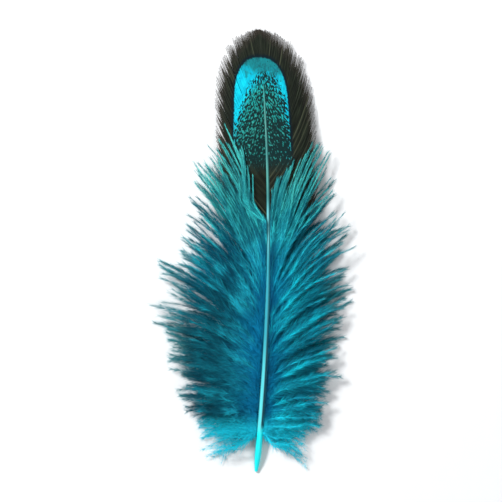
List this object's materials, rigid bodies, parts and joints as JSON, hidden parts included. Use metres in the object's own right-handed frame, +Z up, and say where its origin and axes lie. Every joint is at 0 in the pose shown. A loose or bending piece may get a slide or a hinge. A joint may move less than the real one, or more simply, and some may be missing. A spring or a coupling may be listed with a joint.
{
  "type": "pheasant feather",
  "caption": "Dyed turquoise pheasant body feather lying face up: a bowed shaft, a dark blunt vane with a bright arch-shaped patch, and loose downy locks.",
  "frame": {"origin": "on the surface that the feather lies on, under the middle of its bounding box", "axes": "+Y runs along the feather from the quill to the tip of the vane, +X is across it to the right, and +Z is up, out of its face"},
  "size_m": [0.0402, 0.09, 0.0058],
  "materials": {
    "feather": "dyed keratin, soft satin",
    "shaft": "smooth dyed horn, a little translucent at the quill and paler towards the vane",
    "vane": "flat interlocked barbs, dark brown round a turquoise arch with dark flecks",
    "down": "soft loose barbs dyed turquoise, greyer at their tips"
  },
  "bodies": {
    "root": {"feather": "feather"}
  },
  "joints": []
}
